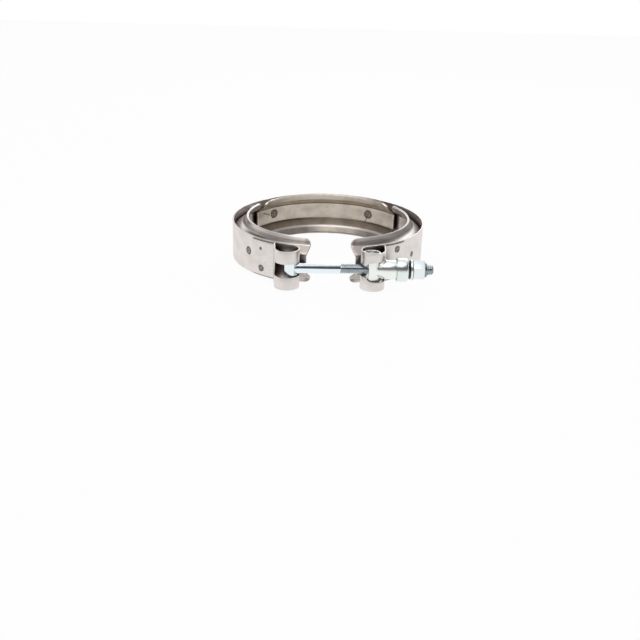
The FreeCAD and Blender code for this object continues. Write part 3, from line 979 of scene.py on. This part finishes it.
def stainless(name, shades, roughness, marks, scratches=(), rim_highlight_share=None, side_from_depth=-30):
    """Steel from the darker of two shades to the lighter one, with painted shade where it is shut in.
    Only a retainer's gets the painted light of its slopes and rim.
    """
    material = bpy.data.materials.new(name)
    tree = Tree(material)
    flat = tree.uv("flat")
    grain = tree.noise(flat, 1.0, 4, (70, 3200, 1))
    cloud = tree.noise(flat, 1.0, 4, (110, 150, 1))
    speck = tree.noise(flat, 1.0, 2, (900, 1400, 1))
    patch = tree.ease(cloud, 0.3, 0.66)
    colour = tree.mix(patch * 0.55 + grain * 0.45, *shades)
    scuff = tree.ease(speck, 0.60, 0.70) * tree.ease(cloud, 0.45, 0.6)
    colour = tree.mix(scuff * 0.4, colour, SCUFF)
    rough = roughness + cloud * 0.12 + grain * 0.06
    if marks:
        burnt = marks_mask(tree, flat, marks)
        colour = tree.mix(burnt * 0.85, colour, BURNT)
        rough = rough + burnt * 0.2
    for start, end, width in scratches:
        scored = scratch_mask(tree, flat, start, end, width)
        colour = tree.mix(scored * 0.75, colour, SCORED)
    # painted shade where the sheet is shut in
    colour = shut_in(tree, colour, SHADED_STEEL)
    metal = 1.0
    if rim_highlight_share is not None:
        colour, lip, matt = lip_shades(tree, flat, colour, rim_highlight_share, side_from_depth)
        rough, metal = rough + lip * 0.14, 1 - matt
    else:
        # painted shade on the strap's inner faces behind the front, streaked
        behind = tree.ease(tree.parts(tree.here())[1], -30 * MM, -20 * MM)
        inward = tree.ease(open_share(tree)[1], 0.45, 0.25) * behind
        streak = tree.ease(tree.noise(flat, 1.0, 3, (50, 900, 1)), 0.35, 0.65)
        colour = tree.mix(inward * (0.4 + streak * 0.4), colour, SHADE_AND_TARNISH)
    grainy = {"Strength": 0.25, "Distance": 0.05 * MM, "Height": grain}
    bump = tree.node("ShaderNodeBump", inputs=grainy)[0]
    tree.metal(colour, metal, rough, bump)
    return material


def dress(piece, material):
    piece.data.materials.clear()
    piece.data.materials.append(material)


def side_place(side, angle):
    """The flat length of a place on a side's arc, at an angle about that arc's centre, both as drawn on
    the left."""
    reached = [length for length, point, run in folded_line(side) if run in ("back", "flex")][-1]
    return side * (reached + math.radians(angle - FLEX_START) * STRAP_RADIUS)


def tail_place(side, angle):
    """The same for a place on the tail, which runs back over the arc."""
    past_end = math.radians(angle - 270 + TAIL_END[side])
    return side * (folded_line(side)[-1][0] - past_end * TAIL_RADIUS)


def web_place(angle):
    """The flat length of a place on the back retainer's web."""
    return math.radians(angle) * WEB_RADIUS


STRAP_SHADES = (0.66, 0.61, 0.58, 1), (0.86, 0.81, 0.78, 1)
BACK_SHADES = (0.42, 0.37, 0.31, 1), (0.73, 0.65, 0.56, 1)
SIDE_SHADES = (0.44, 0.39, 0.35, 1), (0.71, 0.64, 0.59, 1)
# burnt spots: along the flat strip, across it, radius
STRAP_MARKS = {
    -1: [
        (side_place(-1, 217.4), 1.4, 2.8), (tail_place(-1, 229.3), 5.7, 1.3),
        (tail_place(-1, 229.7), -6.4, 2.4),
    ],
    1: [(side_place(1, 214.9), 0.2, 2.0), (tail_place(1, 231.5), 7.1, 2.4)],
}
BACK_MARKS = [(web_place(130.6), 0.8, 3.4), (web_place(56.3), 0.3, 3.4)]
# scratches: from, to, width
BACK_SCRATCHES = [
    ((132.8, 3.0), (126.6, 0.6), 0.5), ((web_place(57.4), -2.6), (web_place(58.6), -5.4), 0.5),
]
for side, piece in ((-1, strap_left), (1, strap_right)):
    steel_name = f"strap_steel_{piece.name[6:]}"
    dress(piece, stainless(steel_name, STRAP_SHADES, 0.26, STRAP_MARKS[side]))
# the back retainer gets a fainter painted rim highlight than the sides
dress(retainer_back, stainless(
    "back_retainer_steel", BACK_SHADES, 0.25, BACK_MARKS, BACK_SCRATCHES, rim_highlight_share=0.15
))
# the sides begin further forward on the right, so its painted lip shade and flange reflection reach
# further to the front
for piece, side_from_depth in ((retainer_left, -30), (retainer_right, -46)):
    dress(piece, stainless(
        f"{piece.name}_steel", SIDE_SHADES, 0.25, [], rim_highlight_share=1.0, side_from_depth=side_from_depth
    ))
print("stainless finishes", [m.name for m in bpy.data.materials if "steel" in m.name])

# %% [markdown]
# The bolt and its fittings are zinc plated, paler and bluer than the strip and with next to no grain.
# One function makes every plate: a soft cloud mixes two shades, with painted shade where a piece is shut
# in.
# Faces that look dull, such as the cut end of the thread and the nut's crown, could be pieces of their
# own, and so could the collar's nose and the washer's top edge, which get painted shade for the gaps
# beside them.
# Here their place along the bolt tells them apart, so the pieces stay whole.

# %% Zinc
SHADED_ZINC = (0.5, 0.52, 0.5, 1)


def zinc(name, light, dark, roughness, recessed=True, dull_and_shade_from=None, dull_and_shade_colour=None):
    """Plate between two shades, with painted shade where shut in unless recessed is False, and another
    colour
    past a place along the bolt: dull on the thread's end and the nut's crown, painted shade on the
    collar's nose and the washer's top edge.
    """
    material = bpy.data.materials.new(name)
    tree = Tree(material)
    here = tree.here()
    cloud = tree.noise(here, 260, 3)
    fine = tree.noise(here, 2600, 2)
    colour = tree.mix(cloud, dark, light)
    if recessed:
        # painted shade where the piece is shut in
        colour = shut_in(tree, colour, SHADED_ZINC, 0.45)
    if dull_and_shade_from:
        past = tree.ease(tree.parts(here)[0], (dull_and_shade_from - 0.1) * MM, dull_and_shade_from * MM)
        colour = tree.mix(past, colour, dull_and_shade_colour)
    bumpy = {"Strength": 0.2, "Distance": 0.04 * MM, "Height": fine}
    bump = tree.node("ShaderNodeBump", inputs=bumpy)[0]
    tree.metal(colour, 1.0, roughness + cloud * 0.1, bump)
    return material


CROWN_START = 53.35
bolt_plate = zinc("bolt_zinc_plate", (0.88, 0.95, 0.98, 1), (0.78, 0.88, 0.93, 1), 0.12)
thread_plate = zinc(
    "thread_zinc_plate", (0.66, 0.71, 0.73, 1), (0.40, 0.45, 0.48, 1), 0.2,
    recessed=False, dull_and_shade_from=BOLT_END - 0.7, dull_and_shade_colour=(0.36, 0.27, 0.24, 1),
)
fitting_plate = zinc("fitting_zinc_plate", (0.96, 0.98, 0.94, 1), (0.86, 0.91, 0.87, 1), 0.28)
# its nose is painted near black: painted shade in the gap between the collar and the washer
collar_plate = zinc(
    "collar_zinc_plate", (0.88, 0.94, 0.92, 1), (0.76, 0.84, 0.82, 1), 0.26,
    dull_and_shade_from=NOSE + 0.05, dull_and_shade_colour=(0.06, 0.06, 0.06, 1),
)
# its top edge is painted dark grey: painted shade under the nut's chamfer
washer_plate = zinc(
    "washer_zinc_plate", (0.93, 0.97, 0.95, 1), (0.84, 0.90, 0.88, 1), 0.26,
    dull_and_shade_from=washer_high.x - 0.4, dull_and_shade_colour=(0.16, 0.17, 0.17, 1),
)
nut_plate = zinc(
    "nut_zinc_plate", (0.90, 0.95, 0.96, 1), (0.78, 0.85, 0.87, 1), 0.24,
    dull_and_shade_from=CROWN_START, dull_and_shade_colour=(0.30, 0.33, 0.33, 1),
)
for piece, material in (
    (thread, thread_plate), (shank, bolt_plate), (head, bolt_plate),
    (collar, collar_plate), (washer, washer_plate), (cross_tube, fitting_plate), (nut, nut_plate),
):
    dress(piece, material)
print("zinc finishes on the bolt and its fittings")
